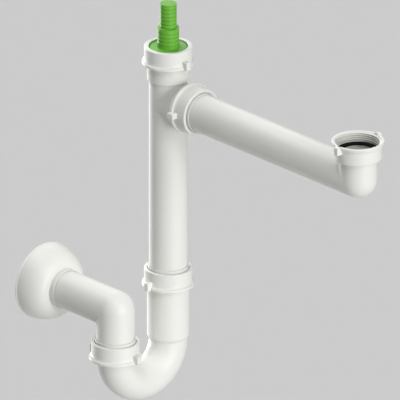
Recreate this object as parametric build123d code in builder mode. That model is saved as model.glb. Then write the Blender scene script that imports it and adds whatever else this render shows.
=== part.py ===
from build123d import *
import os

os.makedirs("parts", exist_ok=True)

# Space saving sink trap, in millimetres. The origin is on the outlet axis in the plane of the wall.
# +Y goes into the wall, +Z is up, and the inlet arm reaches away from the wall.

# Where the pipes run
wall_to_leg = 108.0  # wall to the axis of the outlet leg
spigot_length = 20.0  # outlet pipe beyond the wall plane
leg_spread = 73.7  # outlet leg to main pipe, which is the span of the U bend
bend_drop = 50.6  # outlet axis down to the two ends of the bend
arm_height = 213.4  # outlet axis up to the arm axis
arm_length = 288.2  # main pipe to inlet leg

# Pipe and socket sections
pipe_r = 20.0
pipe_wall = 1.8
slide_gap = 0.4  # a pipe in a socket or in the hole of a nut
socket_wall = 1.5
thread_root_r = 22.4  # root of the male thread of a 1 1/2 inch union
thread_major_r = 23.9  # root of the female thread in a nut
thread_pitch = 2.309  # 11 turns to the inch
male_thread_length = 9.5
socket_taper = 3.5  # length of the step from a socket down to the pipe
end_chamfer = 0.8

# Socket mouths: how far each stands from the axis or bend end below it
dip_socket_length = 69.85  # bend end up to the mouth that takes the main pipe
outlet_socket_length = 8.15  # bend end up to the mouth that takes the outlet leg
branch_reach = 42.7  # main axis out to the mouth of the side branch
branch_socket_depth = 19.0
top_reach = 50.8  # arm axis up to the mouth under the nozzle
top_neck_length = 27.3
top_bore_r = 19.9
branch_root_r = 19.0  # the branch starts this narrow inside the main pipe
branch_cone_end = 16.0

# How far the pipes go into their sockets
dip_insertion = 45.0
leg_insertion = 7.4
arm_insertion = 17.5

# Union nut
nut_length = 19.0
nut_body_r = 25.0
nut_top = 3.0  # thickness of the closed end
nut_shoulder = 1.0
flange_r = 27.45
bead_height = 2.9
flare_height = 6.6
lug_tip_r = 31.3
lug_width = 6.0
lug_height = 8.6
lug_root_r = 24.6
lug_rounding = 1.2
thread_lead_in = 0.9
thread_turns = 4  # turns of female thread below the open face
relief_r = 23.2  # plain bore between the thread and the closed end

# Slip ring and tapered seal between a nut and a socket
seat_gap = 0.25  # between stacked faces that turn on each other
ring_thickness = 1.4
ring_r = 22.9
ring_gap = 0.2  # around the pipe
ring_neck_wall = 0.9  # of the neck that comes out through the hole of the nut
ring_neck_gap = 0.7  # neck to the hole of the nut
ring_proud = 3.0  # neck beyond the face of the nut
ring_lead = 0.5
seal_gap = 0.2  # around the pipe
seal_flange_height = 2.8
seal_flange_r = 22.6
cone_depth = 5.0  # conical seat in a socket mouth
cone_r = 21.7
seal_nose = 3.0
seal_nose_gap = 0.3

# Inlet: collar on the leg, flat gasket and captive nut
collar_r = 22.8
collar_thickness = 3.3
collar_level = 26.6  # arm axis up to the underside of the collar
gasket_thickness = 3.0
gasket_r = 22.5
gasket_hole_r = 17.0

# Hose nozzle in the top nut
nozzle_gasket_thickness = 2.5
nozzle_gasket_hole_r = 12.0
nozzle_flange_thickness = 3.0
nozzle_flange_r = 22.4
hub_r = 19.2
hub_sink = 1.0  # the hub stays this far below the face of the nut
stem_r = 11.3
tip_r = 8.8
stem_height = 21.5
tip_height = 26.5
barb_pitch = 4.45
barb_depth = 0.45
nozzle_wall = 2.0
foot_rounding = 1.6

# Wall rosette
rosette_r = 40.7
rosette_depth = 30.0
rosette_wall = 1.6
rosette_sleeve_depth = 7.0  # inside the bell
rosette_neck_length = 6.0  # in front of the bell
rosette_neck_wall = 0.8
rosette_gap = 0.3

# Derived sizes
bore_r = pipe_r - pipe_wall
socket_bore_r = pipe_r + slide_gap
neck_r = socket_bore_r + socket_wall
nut_hole_r = pipe_r + slide_gap
ring_bore_r = pipe_r + ring_gap
ring_neck_r = ring_bore_r + ring_neck_wall
ring_hole_r = ring_neck_r + ring_neck_gap
thread_depth = thread_turns * thread_pitch
leg_y = -wall_to_leg
inlet_y = leg_y - arm_length
bend_z = -bend_drop
bend_r = leg_spread / 2
dip_mouth_z = bend_z + dip_socket_length
outlet_mouth_z = bend_z + outlet_socket_length
branch_mouth_y = leg_y - branch_reach
top_mouth_z = arm_height + top_reach
seal_base = seat_gap
ring_base = seal_base + seal_flange_height + seat_gap
nut_roof = ring_base + ring_thickness + seat_gap  # inner face of a nut above the mouth
nozzle_base = nozzle_gasket_thickness + seat_gap
nozzle_roof = nozzle_base + nozzle_flange_thickness + seat_gap

# Mouth planes, with their z pointing out of the socket
dip_mouth = Plane((leg_spread, leg_y, dip_mouth_z))
outlet_mouth = Plane((0, leg_y, outlet_mouth_z))
branch_mouth = Plane((leg_spread, branch_mouth_y, arm_height), x_dir=(1, 0, 0), z_dir=(0, -1, 0))
top_mouth = Plane((leg_spread, leg_y, top_mouth_z))


def turn(outline, base, mode=Mode.ADD):
    """Revolve a closed outline of (radius, height) points about the z axis of the plane base."""
    with BuildSketch(Plane(base.origin, x_dir=base.x_dir, z_dir=-base.y_dir)) as section:
        with BuildLine():
            Polyline(*outline, close=True)
        make_face()
    revolve(section.sketch, axis=Axis(base.origin, base.z_dir), mode=mode)


def rod(radius, start, length, base, mode=Mode.ADD):
    """A round bar on the z axis of the plane base, from height start."""
    with BuildSketch(base.offset(start)) as section:
        Circle(radius)
    extrude(section.sketch, amount=length, mode=mode)


def ball(radius, centre, mode=Mode.ADD):
    """The round outer corner of a knee."""
    with Locations(centre):
        Sphere(radius, mode=mode)


def socket_bore(base, depth):
    """The bore of a socket with its conical seat, cut down from the mouth plane base."""
    outline = [(0, 0), (cone_r, 0), (socket_bore_r, -cone_depth), (socket_bore_r, -depth), (0, -depth)]
    turn(outline, base, Mode.SUBTRACT)


def socket_wall_outline(length):
    """Outside of a long socket: threaded mouth, plain neck and the step down to the pipe."""
    return [
        (0, 0),
        (thread_root_r, 0),
        (thread_root_r, -male_thread_length),
        (neck_r, -male_thread_length),
        (neck_r, socket_taper - length),
        (pipe_r, -length),
        (0, -length),
    ]


def save(piece, name):
    """Label a finished piece and write it to its own file."""
    piece.label = name
    export_step(piece, f"parts/{name}.step")


# Outlet elbow: leg up from the U bend, knee, and the pipe that goes through the wall
leg_end_z = outlet_mouth_z - leg_insertion
leg_base = Plane((0, leg_y, leg_end_z))
outlet_base = Plane((0, leg_y, 0), x_dir=(1, 0, 0), z_dir=(0, 1, 0))
with BuildPart() as outlet_elbow:
    rod(pipe_r, 0, -leg_end_z, leg_base)
    rod(pipe_r, 0, wall_to_leg + spigot_length, outlet_base)
    ball(pipe_r, (0, leg_y, 0))
    chamfer(outlet_elbow.edges().group_by(Axis.Y)[-1], length=end_chamfer)
    rod(bore_r, 0, -leg_end_z, leg_base, Mode.SUBTRACT)
    rod(bore_r, 0, wall_to_leg + spigot_length, outlet_base, Mode.SUBTRACT)
    ball(bore_r, (0, leg_y, 0), Mode.SUBTRACT)
save(outlet_elbow.part, "outlet_elbow")

# U bend: long socket for the main pipe, half ring, short socket for the outlet leg
bend_axis = Axis((bend_r, leg_y, bend_z), (0, 1, 0))
with BuildPart() as u_bend:
    with BuildSketch(Plane((leg_spread, leg_y, bend_z))) as bend_section:
        Circle(pipe_r)
    revolve(bend_section.sketch, axis=bend_axis, revolution_arc=180)
    turn(socket_wall_outline(dip_socket_length), dip_mouth)
    rod(thread_root_r, -male_thread_length, male_thread_length, outlet_mouth)
    with BuildSketch(Plane((leg_spread, leg_y, bend_z))) as bore_section:
        Circle(bore_r)
    revolve(bore_section.sketch, axis=bend_axis, revolution_arc=180, mode=Mode.SUBTRACT)
    rod(bore_r, 0, dip_socket_length, Plane((leg_spread, leg_y, bend_z)), Mode.SUBTRACT)
    rod(bore_r, 0, outlet_socket_length, Plane((0, leg_y, bend_z)), Mode.SUBTRACT)
    socket_bore(dip_mouth, dip_socket_length - socket_taper)
    socket_bore(outlet_mouth, outlet_socket_length)
save(u_bend.part, "u_bend")

# Main tee: dip pipe, side branch for the arm, threaded neck for the hose nozzle
dip_end_z = dip_mouth_z - dip_insertion
main_base = Plane((leg_spread, leg_y, dip_end_z))
main_height = top_mouth_z - dip_end_z
branch_outline = [
    (0, -branch_reach),
    (branch_root_r, -branch_reach),
    (neck_r, branch_cone_end - branch_reach),
    (neck_r, -male_thread_length),
    (thread_root_r, -male_thread_length),
    (thread_root_r, 0),
    (0, 0),
]
with BuildPart() as main_tee:
    rod(pipe_r, 0, main_height - top_neck_length + socket_taper, main_base)
    chamfer(main_tee.edges().group_by(Axis.Z)[0], length=end_chamfer)
    turn(socket_wall_outline(top_neck_length), top_mouth)
    turn(branch_outline, branch_mouth)
    rod(bore_r, 0, main_height, main_base, Mode.SUBTRACT)
    rod(top_bore_r, socket_taper - top_neck_length, top_neck_length, top_mouth, Mode.SUBTRACT)
    rod(bore_r, -branch_reach, branch_reach, branch_mouth, Mode.SUBTRACT)
    socket_bore(branch_mouth, branch_socket_depth)
save(main_tee.part, "main_tee")

# Inlet arm: long level pipe, knee, short leg and the collar that keeps the nut on
arm_start_y = branch_mouth_y + arm_insertion
arm_base = Plane((leg_spread, arm_start_y, arm_height), x_dir=(1, 0, 0), z_dir=(0, -1, 0))
inlet_base = Plane((leg_spread, inlet_y, arm_height))
arm_pipe_length = arm_start_y - inlet_y
inlet_leg_height = collar_level + collar_thickness
with BuildPart() as inlet_arm:
    rod(pipe_r, 0, arm_pipe_length, arm_base)
    chamfer(inlet_arm.edges().group_by(Axis.Y)[-1], length=end_chamfer)
    rod(pipe_r, 0, inlet_leg_height, inlet_base)
    ball(pipe_r, (leg_spread, inlet_y, arm_height))
    rod(collar_r, collar_level, collar_thickness, inlet_base)
    rod(bore_r, 0, arm_pipe_length, arm_base, Mode.SUBTRACT)
    rod(bore_r, 0, inlet_leg_height, inlet_base, Mode.SUBTRACT)
    ball(bore_r, (leg_spread, inlet_y, arm_height), Mode.SUBTRACT)
save(inlet_arm.part, "inlet_arm")

# Flat gasket on the inlet collar
with BuildPart() as inlet_gasket:
    with BuildSketch(inlet_base.offset(inlet_leg_height)) as gasket_face:
        Circle(gasket_r)
        Circle(gasket_hole_r, mode=Mode.SUBTRACT)
    extrude(gasket_face.sketch, amount=gasket_thickness)
save(inlet_gasket.part, "inlet_gasket")


def union_nut(hole_r):
    """A union nut with its open face on the ground: threaded bore, closed end with a hole, flared
    skirt that ends in a bead, and two grip lugs."""
    with BuildPart() as nut:
        with BuildSketch(Plane.XZ) as nut_section:
            with BuildLine():
                Line((thread_major_r + thread_lead_in, 0), (flange_r - end_chamfer, 0))
                TangentArc((flange_r - end_chamfer, 0), (flange_r, end_chamfer), tangent=(1, 0))
                Line((flange_r, end_chamfer), (flange_r - end_chamfer / 2, bead_height))
                Spline(
                    (flange_r - end_chamfer / 2, bead_height),
                    (nut_body_r, flare_height),
                    tangents=((-1, 0.35), (0, 1)),
                )
                Line((nut_body_r, flare_height), (nut_body_r, nut_length - nut_shoulder))
                TangentArc(
                    (nut_body_r, nut_length - nut_shoulder),
                    (nut_body_r - nut_shoulder, nut_length),
                    tangent=(0, 1),
                )
                Polyline(
                    (nut_body_r - nut_shoulder, nut_length),
                    (hole_r, nut_length),
                    (hole_r, nut_length - nut_top),
                    (relief_r, nut_length - nut_top),
                    (relief_r, thread_depth),
                    (thread_major_r, thread_depth),
                    (thread_major_r, thread_lead_in),
                    (thread_major_r + thread_lead_in, 0),
                )
            make_face()
        revolve(axis=Axis.Z)
        with BuildSketch(Plane.XY) as lug_feet:
            with PolarLocations((lug_root_r + lug_tip_r) / 2, 2):
                Rectangle(lug_tip_r - lug_root_r, lug_width)
        extrude(amount=lug_height)
        lug_tips = nut.edges().filter_by(Axis.Z).filter_by(lambda e: abs(e.center().X) > flange_r)
        fillet(lug_tips, radius=lug_rounding)
    return nut.part


# The same nut with a hole for the neck of a slip ring, and with a hole for a pipe
ring_nut = union_nut(ring_hole_r)
pipe_nut = union_nut(nut_hole_r)

# Slip ring and tapered seal, modelled once on a socket mouth
ring_neck_top = nut_roof + nut_top + ring_proud - ring_base
cone_slope = (cone_r - socket_bore_r) / cone_depth
seal_mouth_r = cone_r - seal_nose_gap
seal_tip_r = seal_mouth_r - cone_slope * seal_nose
with BuildPart() as slip_ring:
    ring_outline = [
        (ring_bore_r, 0),
        (ring_r, 0),
        (ring_r, ring_thickness),
        (ring_neck_r, ring_thickness),
        (ring_neck_r, ring_neck_top - ring_lead),
        (ring_neck_r - ring_lead, ring_neck_top),
        (ring_bore_r, ring_neck_top),
    ]
    turn(ring_outline, Plane.XY)
with BuildPart() as seal:
    seal_outline = [
        (pipe_r + seal_gap, -seal_nose),
        (seal_tip_r, -seal_nose),
        (seal_mouth_r, seal_base),
        (seal_flange_r, seal_base),
        (seal_flange_r, seal_base + seal_flange_height),
        (pipe_r + seal_gap, seal_base + seal_flange_height),
    ]
    turn(seal_outline, Plane.XY)

# The compression joints: name, mouth and how the lugs of the nut are turned
unions = [
    ("outlet", outlet_mouth, 100.0),
    ("dip", dip_mouth, 0.0),
    ("branch", branch_mouth, 0.0),
]
for union_name, mouth, lug_turn in unions:
    nut_foot = mouth.offset(nut_roof + nut_top - nut_length)
    save(ring_nut.moved(nut_foot.location * Rotation(0, 0, lug_turn)), f"{union_name}_union_nut")
    save(slip_ring.part.moved(mouth.offset(ring_base).location), f"{union_name}_slip_ring")
    save(seal.part.moved(mouth.location), f"{union_name}_seal")

# Nut over the hose nozzle, and the captive nut of the inlet, which stands open end up
top_nut_foot = top_mouth.offset(nozzle_roof + nut_top - nut_length)
save(pipe_nut.moved(top_nut_foot.location * Rotation(0, 0, 90)), "nozzle_union_nut")
inlet_nut_rim = Plane(
    (leg_spread, inlet_y, arm_height + collar_level - seat_gap - nut_top + nut_length),
    x_dir=(1, 0, 0),
    z_dir=(0, 0, -1),
)
save(pipe_nut.moved(inlet_nut_rim.location), "inlet_union_nut")

# Flat gasket under the nozzle
with BuildPart() as nozzle_gasket:
    with BuildSketch(top_mouth) as nozzle_gasket_face:
        Circle(nozzle_flange_r)
        Circle(nozzle_gasket_hole_r, mode=Mode.SUBTRACT)
    extrude(nozzle_gasket_face.sketch, amount=nozzle_gasket_thickness)
save(nozzle_gasket.part, "nozzle_gasket")


def barbs(radius, low, high):
    """Points up a barbed stem: each barb flares down to a small ledge."""
    count = max(1, round((high - low) / barb_pitch))
    step = (high - low) / count
    points = []
    for i in range(count):
        points.append((radius, low + i * step))
        points.append((radius - barb_depth, low + (i + 1) * step))
    return points


# Hose nozzle: flange held by the nut, hub that fills the hole of the nut, stem and closed tip
nozzle_plane = top_mouth.offset(nozzle_base)
hub_top = nozzle_roof - nozzle_base + nut_top - hub_sink
stem_top = hub_top + stem_height
tip_top = stem_top + tip_height
nozzle_outline = [(0, 0), (nozzle_flange_r, 0), (nozzle_flange_r, nozzle_flange_thickness)]
nozzle_outline += [(hub_r, nozzle_flange_thickness), (hub_r, hub_top)]
nozzle_outline += [(stem_r + foot_rounding, hub_top)]
nozzle_outline += barbs(stem_r, hub_top + foot_rounding, stem_top)
nozzle_outline += barbs(tip_r, stem_top + (stem_r - tip_r) / 2, tip_top - end_chamfer)
nozzle_outline += [(tip_r - end_chamfer - barb_depth, tip_top), (0, tip_top)]
nozzle_bore = [
    (0, 0),
    (stem_r - nozzle_wall, 0),
    (stem_r - nozzle_wall, stem_top - nozzle_wall),
    (tip_r - nozzle_wall, stem_top),
    (tip_r - nozzle_wall, tip_top - nozzle_wall),
    (0, tip_top - nozzle_wall),
]
with BuildPart() as hose_nozzle:
    turn(nozzle_outline, nozzle_plane)
    turn(nozzle_bore, nozzle_plane, Mode.SUBTRACT)
save(hose_nozzle.part, "hose_nozzle")

# Wall rosette: thin bell over the hole in the wall, with a sleeve and a neck round the outlet pipe
rosette_hole_r = pipe_r + rosette_gap
rosette_neck_r = rosette_hole_r + rosette_neck_wall
sleeve_r = rosette_hole_r + rosette_wall
dome_reach = rosette_r - sleeve_r
with BuildPart() as wall_rosette:
    with BuildSketch(Plane((0, 0, 0), x_dir=(1, 0, 0), z_dir=(0, 0, 1))) as bell_section:
        with BuildLine():
            EllipticalCenterArc(
                (sleeve_r, 0), dome_reach, rosette_depth, start_angle=-90, arc_size=90
            )
            Line((rosette_r, 0), (rosette_r - rosette_wall, 0))
            EllipticalCenterArc(
                (sleeve_r, 0),
                dome_reach - rosette_wall,
                rosette_depth - rosette_wall,
                start_angle=-90,
                arc_size=90,
            )
            Polyline(
                (sleeve_r, rosette_wall - rosette_depth),
                (sleeve_r, rosette_sleeve_depth - rosette_depth),
                (rosette_hole_r, rosette_sleeve_depth - rosette_depth),
                (rosette_hole_r, -rosette_depth - rosette_neck_length),
                (rosette_neck_r, -rosette_depth - rosette_neck_length),
                (rosette_neck_r, -rosette_depth),
                (sleeve_r, -rosette_depth),
            )
        make_face()
    revolve(axis=Axis.Y)
save(wall_rosette.part, "wall_rosette")
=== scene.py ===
from math import cos, pi, radians, sin, tan

import bmesh
import bpy
import numpy as np
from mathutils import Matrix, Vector


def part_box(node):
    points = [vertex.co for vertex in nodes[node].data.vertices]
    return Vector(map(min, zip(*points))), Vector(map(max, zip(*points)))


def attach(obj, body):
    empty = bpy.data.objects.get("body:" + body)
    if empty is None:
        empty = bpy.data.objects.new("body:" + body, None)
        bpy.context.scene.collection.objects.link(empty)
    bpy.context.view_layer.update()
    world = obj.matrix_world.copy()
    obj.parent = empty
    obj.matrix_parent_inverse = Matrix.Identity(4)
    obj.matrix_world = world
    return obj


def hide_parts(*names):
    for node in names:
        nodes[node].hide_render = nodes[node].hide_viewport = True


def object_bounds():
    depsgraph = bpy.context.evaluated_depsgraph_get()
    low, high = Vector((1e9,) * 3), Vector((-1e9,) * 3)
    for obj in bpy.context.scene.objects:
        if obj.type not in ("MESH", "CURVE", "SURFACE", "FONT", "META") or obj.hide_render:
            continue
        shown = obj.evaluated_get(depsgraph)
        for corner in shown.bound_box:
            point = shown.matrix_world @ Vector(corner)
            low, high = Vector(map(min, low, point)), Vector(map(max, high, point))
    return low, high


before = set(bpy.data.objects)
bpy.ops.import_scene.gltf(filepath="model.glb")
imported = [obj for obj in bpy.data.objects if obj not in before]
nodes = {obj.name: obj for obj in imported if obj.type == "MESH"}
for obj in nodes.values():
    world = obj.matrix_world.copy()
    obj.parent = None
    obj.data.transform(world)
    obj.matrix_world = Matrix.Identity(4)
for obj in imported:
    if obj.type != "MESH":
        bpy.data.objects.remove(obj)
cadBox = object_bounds()
print("frame loaded:", len(nodes), "nodes")

mm = 0.001
near = 1e-6  # metres within which two radii count as the same
up = np.array([0.0, 0.0, 1.0])
east = np.array([1.0, 0.0, 0.0])
toWall = np.array([0.0, 1.0, 0.0])


# Shapes

arcs = {
    "longest": 0.48,  # share of an edge that a corner's arc may take
    "guard": 0.3,  # share of the arc's reach at which the straight edge gets one more point
    "sharpAngle": 38.0,  # degrees between faces from which an edge is drawn sharp
    "weld": 1e-7,  # points nearer than this become one
}


def corner(point, before, after, radius, steps):
    # an arc that touches both edges at a corner: with u and v the directions to the neighbours and a the
    # distance to the tangent points, it is corner + a*u*(1-s)^2 + a*v*s^2 at evenly spaced s from 0 to 1
    u, v = before - point, after - point
    lu, lv = np.linalg.norm(u), np.linalg.norm(v)
    u, v = u / lu, v / lv
    half = np.arccos(np.clip(u @ v, -1.0, 1.0)) / 2
    reach = min(radius / tan(half), arcs["longest"] * lu, arcs["longest"] * lv)
    s = np.linspace(0.0, 1.0, steps)[:, None]
    arc = point + reach * (u * (1 - s) ** 2 + v * s ** 2)
    guard = arcs["guard"] * reach
    return np.vstack([arc[:1] + guard * u, arc, arc[-1:] + guard * v])


def rounded(points, radii, closed=True, steps=7):
    # outline through the points with each corner replaced by its own small arc
    p = np.array(points, float)
    last = len(p) - 1
    rows = []
    for i, r in enumerate(radii):
        if r == 0 or (not closed and i in (0, last)):
            rows.append(p[i:i + 1])
        else:
            rows.append(corner(p[i], p[i - 1], p[(i + 1) % len(p)], r, steps))
    return np.vstack(rows)


def base(origin, axis, xDir=east):
    # a place to build on: its origin and three directions, the third along the piece's own axis
    return np.array(origin, float), xDir, np.cross(axis, xDir), axis


def footOf(node, axis, length=None):
    # where a piece starts on its centre line: the middle of its box less half its length along the axis
    low, high = (np.array(c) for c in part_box(node))
    length = abs((high - low) @ axis) if length is None else length
    return base((low + high) / 2 - axis * length / 2, axis)


def turned(profile, place, around=160, shape=None):
    # a closed outline of (radius, height) carried round the axis: point(angle, i) = origin
    # + radius_i*(cos(angle)*x + sin(angle)*y) + height_i*axis; shape may change the radius at any angle
    origin, x, y, axis = place
    angle = np.linspace(0.0, 2 * pi, around, endpoint=False)[:, None]
    radius = np.broadcast_to(profile[None, :, 0], (around, len(profile)))
    height = np.broadcast_to(profile[None, :, 1], radius.shape)
    if shape is not None:
        radius = shape(angle, height + origin @ axis, radius)
    ring = np.cos(angle)[..., None] * x + np.sin(angle)[..., None] * y
    points = origin + radius[..., None] * ring + height[..., None] * axis
    return points.reshape(-1, 3), gridFaces(around, len(profile), True, True)


def gridFaces(rows, columns, wrapRows, wrapColumns):
    # quads between neighbours of a grid of points: corners (i, j), (i+1, j), (i+1, j+1) and (i, j+1)
    i = np.arange(rows if wrapRows else rows - 1)[:, None]
    j = np.arange(columns if wrapColumns else columns - 1)[None, :]
    i2, j2 = (i + 1) % rows, (j + 1) % columns
    quads = np.stack([i * columns + j, i2 * columns + j, i2 * columns + j2, i * columns + j2], axis=-1)
    return quads.reshape(-1, 4)


def joined(*shells):
    # several closed shells as one mesh: each shell's faces are shifted by the points before it
    points, faces, offset = [], [], 0
    for p, f in shells:
        points.append(p)
        faces.append(f + offset)
        offset += len(p)
    return np.vstack(points), np.vstack(faces)


def makeObject(name, shell, material, body, stands=()):
    # writes the arrays into a mesh, merges the points that meet on an axis, and shades it smooth
    points, quads = shell
    mesh = bpy.data.meshes.new(name)
    mesh.vertices.add(len(points))
    mesh.vertices.foreach_set("co", points.astype(np.float32).ravel())
    mesh.loops.add(quads.size)
    mesh.loops.foreach_set("vertex_index", quads.astype(np.int32).ravel())
    mesh.polygons.add(len(quads))
    mesh.polygons.foreach_set("loop_start", np.arange(0, quads.size, 4, dtype=np.int32))
    mesh.update(calc_edges=True)
    work = bmesh.new()
    work.from_mesh(mesh)
    bmesh.ops.remove_doubles(work, verts=work.verts, dist=arcs["weld"])
    work.to_mesh(mesh)
    work.free()
    mesh.shade_smooth()
    mesh.set_sharp_from_angle(angle=radians(arcs["sharpAngle"]))
    piece = bpy.data.objects.new(name, mesh)
    bpy.context.scene.collection.objects.link(piece)
    mesh.materials.append(material)
    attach(piece, body)
    if stands:
        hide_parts(*stands)


# Materials

texture = {
    "toneEnds": (0.3, 0.7),  # noise values at which the darker and the full colour are reached
    "toneDetail": 3,
    "fineDetail": 2,  # of gloss and skin
}


def makePlastic(name, look):
    # moulded plastic: base colour with a faint drift in tone, gloss that varies a little from place to
    # place, and a shallow moulded skin, all worked out from the object's own coordinates
    material = bpy.data.materials.new(name)
    material.use_nodes = True
    tree = material.node_tree
    shader = tree.nodes["Principled BSDF"]
    where = tree.nodes.new("ShaderNodeTexCoord")

    def noise(scale, detail):
        node = tree.nodes.new("ShaderNodeTexNoise")
        node.inputs["Scale"].default_value = scale
        node.inputs["Detail"].default_value = detail
        tree.links.new(where.outputs["Object"], node.inputs["Vector"])
        return node.outputs["Fac"]

    tone = tree.nodes.new("ShaderNodeValToRGB")
    colours = look["darker"], look["colour"]
    for stop, position, colour in zip(tone.color_ramp.elements, texture["toneEnds"], colours):
        stop.position = position
        stop.color = (*colour, 1)
    tree.links.new(noise(look["toneScale"], texture["toneDetail"]), tone.inputs["Fac"])
    tree.links.new(tone.outputs["Color"], shader.inputs["Base Color"])

    gloss = tree.nodes.new("ShaderNodeMapRange")
    gloss.inputs["To Min"].default_value = look["roughness"][0]
    gloss.inputs["To Max"].default_value = look["roughness"][1]
    tree.links.new(noise(look["glossScale"], texture["fineDetail"]), gloss.inputs["Value"])
    tree.links.new(gloss.outputs["Result"], shader.inputs["Roughness"])

    skin = tree.nodes.new("ShaderNodeBump")
    skin.inputs["Strength"].default_value = look["skinStrength"]
    skin.inputs["Distance"].default_value = look["skinDepth"]
    tree.links.new(noise(look["skinScale"], texture["fineDetail"]), skin.inputs["Height"])
    tree.links.new(skin.outputs["Normal"], shader.inputs["Normal"])

    shader.inputs["IOR"].default_value = look["ior"]
    return material


whiteLook = {
    "colour": (0.775, 0.783, 0.744),
    "darker": (0.755, 0.763, 0.722),
    "toneScale": 22.0,
    "roughness": (0.40, 0.48),
    "glossScale": 90.0,
    "skinScale": 700.0,
    "skinStrength": 0.12,
    "skinDepth": 0.0002,
    "ior": 1.5,
}
rosetteLook = dict(whiteLook, roughness=(0.38, 0.46))
nutLook = dict(whiteLook, roughness=(0.42, 0.5), skinStrength=0.08)
greenLook = {
    "colour": (0.15, 0.455, 0.042),
    "darker": (0.125, 0.41, 0.034),
    "toneScale": 60.0,
    "roughness": (0.40, 0.50),
    "glossScale": 150.0,
    "skinScale": 900.0,
    "skinStrength": 0.1,
    "skinDepth": 0.0002,
    "ior": 1.38,
}
ringLook = dict(whiteLook, colour=(0.75, 0.76, 0.73), darker=(0.72, 0.73, 0.70), roughness=(0.4, 0.5))
sealLook = {
    "colour": (0.025, 0.025, 0.025),
    "darker": (0.018, 0.018, 0.018),
    "toneScale": 80.0,
    "roughness": (0.5, 0.65),
    "glossScale": 200.0,
    "skinScale": 1200.0,
    "skinStrength": 0.25,
    "skinDepth": 0.0002,
    "ior": 1.5,
}
gasketLook = dict(sealLook, colour=(0.004, 0.004, 0.004), darker=(0.002, 0.002, 0.002), roughness=(0.7, 0.85),
                  ior=1.25)

pipePlastic = makePlastic("pipePlastic", whiteLook)
nutPlastic = makePlastic("nutPlastic", nutLook)
rosettePlastic = makePlastic("rosettePlastic", rosetteLook)
nozzlePlastic = makePlastic("nozzlePlastic", greenLook)
ringPlastic = makePlastic("ringPlastic", ringLook)
sealRubber = makePlastic("sealRubber", sealLook)
gasketRubber = makePlastic("gasketRubber", gasketLook)

nodeFinish = {
    "outlet_elbow": pipePlastic,
    "u_bend": pipePlastic,
    "inlet_arm": pipePlastic,
    "outlet_seal": sealRubber,
    "dip_seal": sealRubber,
    "branch_seal": sealRubber,
    "nozzle_gasket": gasketRubber,
}
for nodeName, finish in nodeFinish.items():
    mesh = nodes[nodeName].data
    mesh.materials.clear()
    mesh.materials.append(finish)
print("materials made")


# Threads

thread = {
    "pitch": 2.309 * mm,
    "rootRadius": 22.4 * mm,  # of the male thread
    "ridgeHeight": 1.3 * mm,
    "play": 0.3 * mm,  # between male and female flanks
    "crest": 0.21,  # share of a turn that is flat crest
    "flank": 0.29,  # share of a turn taken by each flank
    "fade": 1.3 * mm,  # run-out at each end
    "length": 9.0 * mm,  # of the male thread
    "belowMouth": 0.4 * mm,  # from its upper end to the mouth of the socket
    "sleeveWall": 0.4 * mm,
    "rows": 72,
}


def threadRidge(angle, height):
    # right-hand thread: the phase is height/pitch - angle/(2*pi), and the ridge is a trapezoid wave of it,
    # averaged with its own smooth step 3*r^2 - 2*r^3
    phase = np.mod(height / thread["pitch"] - angle / (2 * pi), 1.0)
    away = np.abs(phase - 0.5)
    ridge = np.clip((thread["crest"] / 2 + thread["flank"] - away) / thread["flank"], 0.0, 1.0)
    return ridge * ridge * (3 - 2 * ridge) * 0.5 + ridge * 0.5


def fadeEnds(height, low, high):
    # rises from 0 to 1 over the run-out at each end of a thread: the distance to the nearer end over the fade
    return np.clip(np.minimum(height - low, high - height) / thread["fade"], 0.0, 1.0)


def maleThread(place):
    # sleeve whose outside is root radius + ridge height*ridge and whose back lies in the wall of the socket
    start = place[0] @ place[3]
    rows = thread["rows"]
    outside = np.column_stack([np.full(rows, thread["rootRadius"]), np.linspace(0.0, thread["length"], rows)])
    inside = outside[::-1] - np.array([thread["sleeveWall"], 0.0])
    profile = np.vstack([outside, inside[:1], inside[-1:]])

    def shape(angle, height, radius):
        ridge = threadRidge(angle, height) * fadeEnds(height - start, 0.0, thread["length"])
        outer = radius >= thread["rootRadius"] - near
        return np.where(outer, radius + thread["ridgeHeight"] * ridge, radius)

    return turned(profile, place, shape=shape)


# Union nuts

nut = {
    "length": 19.0 * mm,
    "bodyRadius": 25.0 * mm,
    "beadRadius": 27.45 * mm,
    "beadHeight": 2.9 * mm,
    "beadTaper": 0.4 * mm,
    "flareHeight": 6.6 * mm,
    "shoulder": 1.0 * mm,
    "closedEnd": 3.0 * mm,
    "reliefRadius": 23.2 * mm,
    "threadRadius": 23.9 * mm,
    "threadDepth": 9.236 * mm,
    "leadIn": 0.9 * mm,
    "threadRunIn": 0.4 * mm,  # the thread fades in this far before the lead-in ends
    "threadRunOut": 1.2 * mm,
    "boreRows": 64,
    "footEdges": (0.9 * mm, 0.35 * mm),
    "holeEdges": (0.35 * mm, 0.3 * mm),
    "reliefEdge": 0.4 * mm,
    "reliefGap": 0.05 * mm,
    "lugWidth": 6.0 * mm,
    "lugHeight": 8.6 * mm,
    "lugRoot": 24.6 * mm,
    "lugTip": 31.3 * mm,
    "lugEdge": 0.9 * mm,
    "lugRows": 7,
    "flareRows": 14,
    "around": 180,
}


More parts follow.
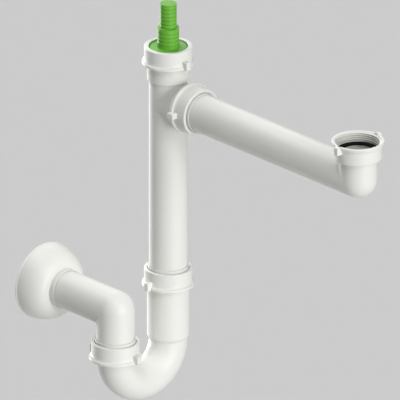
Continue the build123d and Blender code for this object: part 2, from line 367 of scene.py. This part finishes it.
def nutProfile(hole):
    # outline of the nut's wall: open face, bead, concave flare (a quarter ellipse, whose radius falls from
    # the bead's to the body's as sin(t) while it rises as 1-cos(t)), straight body, rounded shoulder,
    # closed end with the pipe hole, relief, and the threaded bore down to its mouth
    n = nut
    t = np.linspace(0.0, pi / 2, n["flareRows"])[1:]
    top = n["beadRadius"] - n["beadTaper"]
    flare = np.column_stack([
        top - (top - n["bodyRadius"]) * np.sin(t),
        n["flareHeight"] - (n["flareHeight"] - n["beadHeight"]) * np.cos(t),
    ])
    foot = rounded(
        [(n["threadRadius"] + n["leadIn"], 0), (n["beadRadius"], 0), (top, n["beadHeight"]), flare[1]],
        [0, *n["footEdges"], 0], closed=False)
    head = rounded(
        [flare[-1], (n["bodyRadius"], n["length"]), (hole, n["length"]),
         (hole, n["length"] - n["closedEnd"]), (n["reliefRadius"], n["length"] - n["closedEnd"]),
         (n["reliefRadius"], n["threadDepth"] + n["reliefGap"])],
        [0, n["shoulder"], *n["holeEdges"], n["reliefEdge"], 0], closed=False, steps=9)
    rows = n["boreRows"]
    bore = np.column_stack([
        np.full(rows, n["threadRadius"]), np.linspace(n["threadDepth"], n["leadIn"], rows)])
    return np.vstack([foot[:-1], flare[1:-1], head, bore])


def femaleThread(angle, height, radius, start):
    # the bore of the nut goes over, by the share of fadeEnds, to the male thread's own radius plus the play
    n = nut
    inThread = np.abs(radius - n["threadRadius"]) < near
    local = height - start
    ridge = threadRidge(angle, height)
    groove = thread["rootRadius"] + thread["play"] + thread["ridgeHeight"] * ridge
    share = fadeEnds(local, n["leadIn"] - n["threadRunIn"], n["threadDepth"] + n["threadRunOut"])
    return np.where(inThread, n["threadRadius"] - (n["threadRadius"] - groove) * share, radius)


def lug(place, turn):
    # grip lug: a rounded rectangle carried outward along a radius, and drawn in at the tip by
    # edge*(1-cos(t)) while it runs out by edge*sin(t), a quarter round
    n = nut
    origin, x, y, axis = place
    out = cos(turn) * x + sin(turn) * y
    side = -sin(turn) * x + cos(turn) * y
    edge = n["lugEdge"]
    w, h = n["lugWidth"] / 2, n["lugHeight"] / 2
    outline = rounded([(w, -h), (-w, -h), (-w, h), (w, h)], [edge] * 4, steps=6)
    t = np.linspace(0.0, pi / 2, n["lugRows"])
    along = np.concatenate([[n["lugRoot"]] * 2, n["lugTip"] - edge + edge * np.sin(t), [n["lugTip"]]])
    # the first and the last ring shrink the outline to its middle, which closes the root and the tip
    inset = edge * (1 - np.cos(t))[:, None] / np.array([w, h])
    scale = np.vstack([np.zeros((1, 2)), np.ones((1, 2)), 1 - inset, np.zeros((1, 2))])
    flat = outline[None, :, :] * scale[:, None, :]
    points = (origin + axis * h + along[:, None, None] * out
              + flat[..., :1] * side + flat[..., 1:] * axis)
    return points.reshape(-1, 3), gridFaces(len(along), len(outline), False, True)


def makeNut(name, axis, body, lugTurn, hole):
    # a wall turned about the axis from its open face on, with two lugs half a turn apart
    place = footOf(name, axis, nut["length"])
    start = place[0] @ axis

    def shape(angle, height, radius):
        return femaleThread(angle, height, radius, start)

    wall = turned(nutProfile(hole), place, nut["around"], shape)
    turns = radians(lugTurn), radians(lugTurn) + pi
    shell = joined(wall, *(lug(place, t) for t in turns))
    makeObject(name + "_skin", shell, nutPlastic, body, [name])


nutPlan = {
    # node: axis, body, turn of the lugs, radius of the hole
    "outlet_union_nut": (up, "outlet_nut", 100.0, 21.8 * mm),
    "dip_union_nut": (up, "dip_nut", 0.0, 21.8 * mm),
    "branch_union_nut": (-toWall, "branch_nut", 0.0, 21.8 * mm),
    "nozzle_union_nut": (up, "nozzle_nut", 90.0, 20.4 * mm),
    "inlet_union_nut": (-up, "inlet_nut", 0.0, 20.4 * mm),
}
for nodeName, (axis, body, lugTurn, hole) in nutPlan.items():
    makeNut(nodeName, axis, body, lugTurn, hole)
print("union nuts made")

# Male threads under the nuts: the nut, its axis, the body of the thread, and the nut's face to the mouth
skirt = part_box("u_bend")[1].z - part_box("dip_union_nut")[0].z
threadPlan = {
    "dip_male_thread": ("dip_union_nut", up, "bend", skirt),
    "outlet_male_thread": ("outlet_union_nut", up, "bend", skirt),
    "branch_male_thread": ("branch_union_nut", -toWall, "tee", skirt),
    "nozzle_male_thread": ("nozzle_union_nut", up, "tee",
                           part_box("main_tee")[1].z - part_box("nozzle_union_nut")[0].z),
}
for name, (nodeName, axis, body, mouth) in threadPlan.items():
    face = footOf(nodeName, axis, nut["length"])[0]
    origin = face + axis * (mouth - thread["length"] - thread["belowMouth"])
    makeObject(name, maleThread(base(origin, axis)), pipePlastic, body)
print("threads made")


# Slip rings: turned L sections whose necks come out of the nuts

ring = {
    "bore": 20.2 * mm,
    "outer": 22.9 * mm,
    "thickness": 1.4 * mm,
    "neck": 21.25 * mm,
    "height": 7.65 * mm,
    "edge": 0.3 * mm,
    "inner": 0.2 * mm,  # rounding in the corner of the L
}
ringOutline = rounded(
    [(ring["bore"], 0), (ring["outer"], 0), (ring["outer"], ring["thickness"]),
     (ring["neck"], ring["thickness"]), (ring["neck"], ring["height"]), (ring["bore"], ring["height"])],
    [ring["edge"]] * 3 + [ring["inner"]] + [ring["edge"]] * 2)
ringPlan = {"outlet_slip_ring": (up, "outlet_ring"), "dip_slip_ring": (up, "dip_ring"),
            "branch_slip_ring": (-toWall, "branch_ring")}
for nodeName, (axis, body) in ringPlan.items():
    foot = footOf(nodeName, axis, ring["height"])
    makeObject(nodeName + "_skin", turned(ringOutline, foot), ringPlastic, body, [nodeName])
print("slip rings made")


# Main tee: the upright pipe with its neck, and the side branch, as two closed tubes that cross

tee = {
    "pipeRadius": 20.0 * mm,
    "boreRadius": 18.2 * mm,
    "topBoreRadius": 19.9 * mm,
    "neckRadius": 21.9 * mm,
    "rootRadius": 22.4 * mm,  # of the thread
    "rootLength": 9.5 * mm,
    "neckLength": 28.8 * mm,  # mouth down to the foot of the step
    "topBoreLength": 23.8 * mm,
    "step": 1.6 * mm,
    "chamfer": 0.8 * mm,
    "branchReach": 42.7 * mm,
    "branchRadius": 19.95 * mm,  # of its straight part
    "branchStep": 27.0 * mm,  # axis out to where it starts to widen
    "branchNeck": 31.0 * mm,  # axis out to where the branch is as wide as its socket
    "rootTop": 2.0 * mm,  # how far the branch flares into the pipe above and below
    "rootBottom": 3.0 * mm,
    "rootFade": 2.6 * mm,
    "seatRadius": 21.7 * mm,
    "seatDepth": 5.0 * mm,
    "socketRadius": 20.4 * mm,
    "socketDepth": 19.0 * mm,
    "around": 200,
    "pipeEdges": [e * mm for e in (0.2, 0.3, 0.3, 0.5, 0.6, 0.2, 0.2, 0.3, 0.2, 0.3, 0.2)],
    "branchEdges": [e * mm for e in (0.1, 0.2, 0.2, 0.2, 0.1, 0.3, 0.2, 0.2)],
    "rootEdge": 0.1 * mm,
    "branchRows": 60,
}


def teePipe(height):
    # outline from the lower end up: chamfer, pipe, step, neck, thread root, mouth, and down the bore
    n = tee
    root = height - n["rootLength"]
    foot = height - n["neckLength"]
    return rounded(
        [(n["boreRadius"], 0), (n["pipeRadius"] - n["chamfer"], 0), (n["pipeRadius"], n["chamfer"]),
         (n["pipeRadius"], foot), (n["neckRadius"], foot + n["step"]), (n["neckRadius"], root),
         (n["rootRadius"], root), (n["rootRadius"], height), (n["topBoreRadius"], height),
         (n["topBoreRadius"], height - n["topBoreLength"]), (n["boreRadius"], height - n["topBoreLength"])],
        n["pipeEdges"])


def teeBranch():
    # outline from the main axis outwards: straight pipe, step, neck, thread root, mouth, seat and bore; the
    # step is linear: radius + (neck - radius)*share of the way from its start to its end
    n = tee
    mouth = n["branchReach"]
    root = mouth - n["rootLength"]
    inner = mouth - n["socketDepth"]
    along = np.linspace(0.0, n["branchNeck"], n["branchRows"])
    share = np.clip((along - n["branchStep"]) / (n["branchNeck"] - n["branchStep"]), 0.0, 1.0)
    cone = np.column_stack([n["branchRadius"] + (n["neckRadius"] - n["branchRadius"]) * share, along])
    return rounded(
        [(n["boreRadius"], 0), *cone,
         (n["neckRadius"], root), (n["rootRadius"], root), (n["rootRadius"], mouth), (n["seatRadius"], mouth),
         (n["socketRadius"], mouth - n["seatDepth"]), (n["socketRadius"], inner), (n["boreRadius"], inner)],
        [n["rootEdge"]] * 2 + [0] * (n["branchRows"] - 2) + n["branchEdges"])


def branchFlare(angle, height, radius):
    # the branch runs into the pipe in a soft hollow: where the two meet, at the distance
    # sqrt(pipe^2 - (radius*cos(angle))^2) from the pipe's axis, the radius grows by flare*sin(angle)^2, and
    # the growth dies away outwards as exp(-distance/fade); the bore keeps its radius
    n = tee
    along = height + teeAxis[1]
    meet = np.sqrt(np.maximum(n["pipeRadius"] ** 2 - (radius * np.cos(angle)) ** 2, 0.0))
    flare = np.where(np.sin(angle) > 0, n["rootTop"], n["rootBottom"]) * np.sin(angle) ** 2
    fade = np.exp(-np.maximum(along - meet, 0.0) / n["rootFade"])
    outside = (radius >= n["branchRadius"] - n["rootEdge"]) & (along < n["branchNeck"])
    return np.where(outside, radius + flare * fade, radius)


low, high = (np.array(c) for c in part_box("main_tee"))
teeAxis = (low[0] + high[0]) / 2, high[1] - tee["rootRadius"]
branchHeight = footOf("branch_slip_ring", -toWall)[0][2]
pipeShell = turned(teePipe(high[2] - low[2]), base([*teeAxis, low[2]], up), tee["around"])
branchShell = turned(teeBranch(), base([*teeAxis, branchHeight], -toWall), tee["around"], branchFlare)
makeObject("main_tee_skin", joined(pipeShell, branchShell), pipePlastic, "tee", ["main_tee"])
print("main tee made")


# Hose nozzle

nozzle = {
    "flangeRadius": 22.4 * mm,
    "flangeHeight": 3.0 * mm,
    "hubRadius": 18.9 * mm,
    "hubHeight": 5.1 * mm,
    "stemRadius": 11.3 * mm,
    "tipRadius": 8.8 * mm,
    "stemHeight": 21.65 * mm,
    "tipHeight": 26.5 * mm,
    "barbPitch": 4.45 * mm,
    "barbFoot": 0.3 * mm,  # foot of a barb above the groove under it
    "barbTaper": 0.27 * mm,
    "barbTop": 0.55 * mm,  # from the end of the taper up to the next barb
    "grooveDepth": 0.75 * mm,
    "grooveHeight": 0.3 * mm,
    "stemEnd": 0.4 * mm,  # from the last barb up to the flat
    "ledgeInset": 0.1 * mm,
    "tipNeck": 0.5 * mm,  # how far the tip's foot is drawn in
    "tipNeckHeight": (0.5 * mm, 1.1 * mm),
    "tipStart": 1.2 * mm,
    "tipBevel": 0.2 * mm,
    "footRounding": 0.4 * mm,
    "wall": 2.0 * mm,
    "around": 128,
    "flangeEdges": [e * mm for e in (0.25, 0.4, 0.4, 0.25, 0.45, 0.3)],
    "barbEdge": 0.12 * mm,
    "ledgeEdges": [e * mm for e in (0.15, 0.3, 0.2, 0.1)],
    "tipEdge": 0.45 * mm,
    "boreEdge": 0.5 * mm,
}


def barbs(radius, low, high):
    # a stack of cones: each narrows upward in a straight line by the taper, with a groove under the next
    n = nozzle
    count = max(1, round((high - low) / n["barbPitch"]))
    step = (high - low) / count
    groove = radius - n["grooveDepth"]
    rows = []
    for i in range(count):
        foot, top = low + i * step, low + (i + 1) * step
        rows += [(radius, foot + n["barbFoot"]), (radius - n["barbTaper"], top - n["barbTop"]),
                 (groove, top - n["grooveHeight"]), (groove, top)]
    return rows


def nozzleProfile():
    # outside from the axis out over the flange, up the hub and the barbs to the closed tip, then down the bore
    n = nozzle
    stemTop = n["hubHeight"] + n["stemHeight"]
    tipTop = stemTop + n["tipHeight"]
    stem = barbs(n["stemRadius"], n["hubHeight"] + n["footRounding"], stemTop - n["stemEnd"])[:-2]
    tip = barbs(n["tipRadius"], stemTop + n["tipStart"], tipTop - n["stemEnd"])[:-2]
    inner = n["stemRadius"] - n["wall"]
    ledge = n["stemRadius"] - n["ledgeInset"]
    tipFoot = n["tipRadius"] - n["tipNeck"]
    points = [
        (inner, 0), (n["flangeRadius"], 0), (n["flangeRadius"], n["flangeHeight"]),
        (n["hubRadius"], n["flangeHeight"]), (n["hubRadius"], n["hubHeight"]),
        (n["stemRadius"] + n["footRounding"], n["hubHeight"]),
        *stem,
        (ledge, stemTop - n["ledgeInset"]), (ledge, stemTop + n["ledgeInset"]),
        *((tipFoot, stemTop + height) for height in n["tipNeckHeight"]),
        *tip,
        (n["tipRadius"] - n["tipBevel"], tipTop), (0, tipTop),
        (0, tipTop - n["wall"]), (n["tipRadius"] - n["wall"], tipTop - n["wall"]),
        (n["tipRadius"] - n["wall"], stemTop), (inner, stemTop - n["wall"]),
    ]
    radii = n["flangeEdges"] + [n["barbEdge"]] * len(stem) + n["ledgeEdges"] + [n["barbEdge"]] * len(tip)
    radii += [n["tipEdge"], 0, 0] + [n["boreEdge"]] * 3
    return rounded(points, radii, steps=5)


makeObject("hose_nozzle_skin", turned(nozzleProfile(), footOf("hose_nozzle", up), nozzle["around"]),
           nozzlePlastic, "nozzle", ["hose_nozzle"])
print("hose nozzle made")


# Wall rosette

rosette = {
    "radius": 40.7 * mm,
    "depth": 30.0 * mm,
    "wall": 1.6 * mm,
    "holeRadius": 20.3 * mm,
    "sleeveDepth": 7.0 * mm,
    "neckLength": 6.0 * mm,
    "neckWall": 0.8 * mm,
    "lip": 1.6 * mm,  # straight edge against the wall
    "lipStep": 0.6 * mm,
    "around": 200,
    "bellRows": 40,
    "rimEdge": 0.25 * mm,
    "sleeveEdges": [e * mm for e in (0.3, 0.35, 0.25, 0.3, 0.3)],
}


def rosetteProfile():
    # bell section: the outside is a quarter ellipse with radius sleeve + width*cos(t) and height
    # foot + rise*sin(t), the inside one with sine and cosine changed over, and rim and sleeve join them
    n = rosette
    sleeve = n["holeRadius"] + n["wall"]
    reach = n["radius"] - sleeve
    t = np.linspace(0.0, pi / 2, n["bellRows"])
    inside = np.column_stack([
        sleeve + (reach - n["wall"]) * np.sin(t), (n["depth"] - n["wall"]) * np.cos(t)])
    outside = np.column_stack([
        sleeve + (reach - n["lipStep"]) * np.cos(t), n["lip"] + (n["depth"] - n["lip"]) * np.sin(t)])
    edge = rounded(
        [inside[-1], (n["radius"], 0), (n["radius"], n["lip"]), outside[0], outside[1]],
        [0, n["rimEdge"], n["rimEdge"], 0, 0], closed=False)[1:-2]
    neck = n["holeRadius"] + n["neckWall"]
    tip = n["depth"] + n["neckLength"]
    lip = rounded(
        [outside[-1], (neck, n["depth"]), (neck, tip), (n["holeRadius"], tip),
         (n["holeRadius"], n["depth"] - n["sleeveDepth"]), (sleeve, n["depth"] - n["sleeveDepth"]), inside[0]],
        [0, *n["sleeveEdges"], 0], closed=False)
    return np.vstack([edge, outside[:-1], lip[:-1], inside])


makeObject("wall_rosette_skin", turned(rosetteProfile(), base([0.0, 0.0, 0.0], -toWall), rosette["around"]),
           rosettePlastic, "rosette", ["wall_rosette"])
print("rosette made")


# Inlet gasket

gasket = {
    "outer": 22.5 * mm,
    "inner": 16.2 * mm,
    "thickness": 1.8 * mm,
    "edge": 0.5 * mm,
    "around": 120,
}
gasketOutline = rounded(
    [(gasket["inner"], 0), (gasket["outer"], 0), (gasket["outer"], gasket["thickness"]),
     (gasket["inner"], gasket["thickness"])], [gasket["edge"]] * 4)
makeObject("inlet_gasket_skin", turned(gasketOutline, footOf("inlet_gasket", up), gasket["around"]),
           gasketRubber, "arm", ["inlet_gasket"])
print("gasket made")


# Stage: floor, light and camera

stage = {
    "floorDrop": 3.0,
    "floorSize": 24.0,
    "floorColour": (0.548, 0.548, 0.548, 1),
    "floorRoughness": 0.9,
    "surround": (1.0, 1.0, 1.0, 1),
    "surroundStrength": 0.06,
}
floorHeight = cadBox[0].z - stage["floorDrop"]
half = stage["floorSize"] / 2
floorMesh = bpy.data.meshes.new("floor")
floorMesh.from_pydata(
    [(-half, -half, floorHeight), (half, -half, floorHeight), (half, half, floorHeight),
     (-half, half, floorHeight)], [], [(0, 1, 2, 3)])
floor = bpy.data.objects.new("floor", floorMesh)
bpy.context.scene.collection.objects.link(floor)
floorPaint = bpy.data.materials.new("floorPaint")
floorPaint.use_nodes = True
floorShader = floorPaint.node_tree.nodes["Principled BSDF"]
floorShader.inputs["Base Color"].default_value = stage["floorColour"]
floorShader.inputs["Roughness"].default_value = stage["floorRoughness"]
floorMesh.materials.append(floorPaint)

world = bpy.data.worlds.new("surround")
bpy.context.scene.world = world
world.use_nodes = True
background = world.node_tree.nodes["Background"]
background.inputs["Color"].default_value = stage["surround"]
background.inputs["Strength"].default_value = stage["surroundStrength"]
bpy.context.scene.view_settings.view_transform = "Standard"

view = {
    "azimuth": -42.52,
    "elevation": 22.54,
    "width": 0.41085,  # what the picture spans
    "distance": 3.0,
    "centre": (0.07364, -0.15629, 0.1159),
    "clip": (0.01, 100.0),
}
suns = {
    # where from: degrees to the right of the camera, degrees up, spread in degrees, strength
    "front": (40, 4, 40, 1.94),
    "frontHigh": (40, 30, 30, 0.65),
    "frontSmall": (18, 48, 10, 0.32),
    "overFront": (-15, 62, 30, 0.38),
    "overBack": (-110, 65, 40, 1.16),
    "backHigh": (-160, 50, 40, 0.49),
    "backRight": (175, 30, 30, 0.36),
    "rimHigh": (-140, 25, 30, 0.61),
    "rim": (-145, 5, 30, 0.2),
    "rimBehind": (-163, 5, 30, 1.05),
    "rimLow": (-136, -11, 14, 2.3),
}


def direction(azimuth, elevation):
    # the way to a point seen at these angles: (sin(a)*cos(e), -cos(a)*cos(e), sin(e))
    a, e = radians(azimuth), radians(elevation)
    return Vector((sin(a) * cos(e), -cos(a) * cos(e), sin(e)))


for name, (turn, height, spread, strength) in suns.items():
    light = bpy.data.lights.new(name, "SUN")
    light.angle = radians(spread)
    light.energy = strength
    lamp = bpy.data.objects.new(name, light)
    lamp.rotation_mode = "QUATERNION"
    lamp.rotation_quaternion = direction(view["azimuth"] + turn, height).to_track_quat("Z", "Y")
    bpy.context.scene.collection.objects.link(lamp)

camera = bpy.data.cameras.new("camera")
camera.type = "ORTHO"  # the photograph is a parallel view
camera.ortho_scale = view["width"]
eye = bpy.data.objects.new("camera", camera)
back = direction(view["azimuth"], view["elevation"])
eye.location = Vector(view["centre"]) + back * view["distance"]
eye.rotation_mode = "QUATERNION"
eye.rotation_quaternion = back.to_track_quat("Z", "Y")
camera.clip_start, camera.clip_end = view["clip"]
bpy.context.scene.collection.objects.link(eye)
bpy.context.scene.camera = eye
print("stage made")
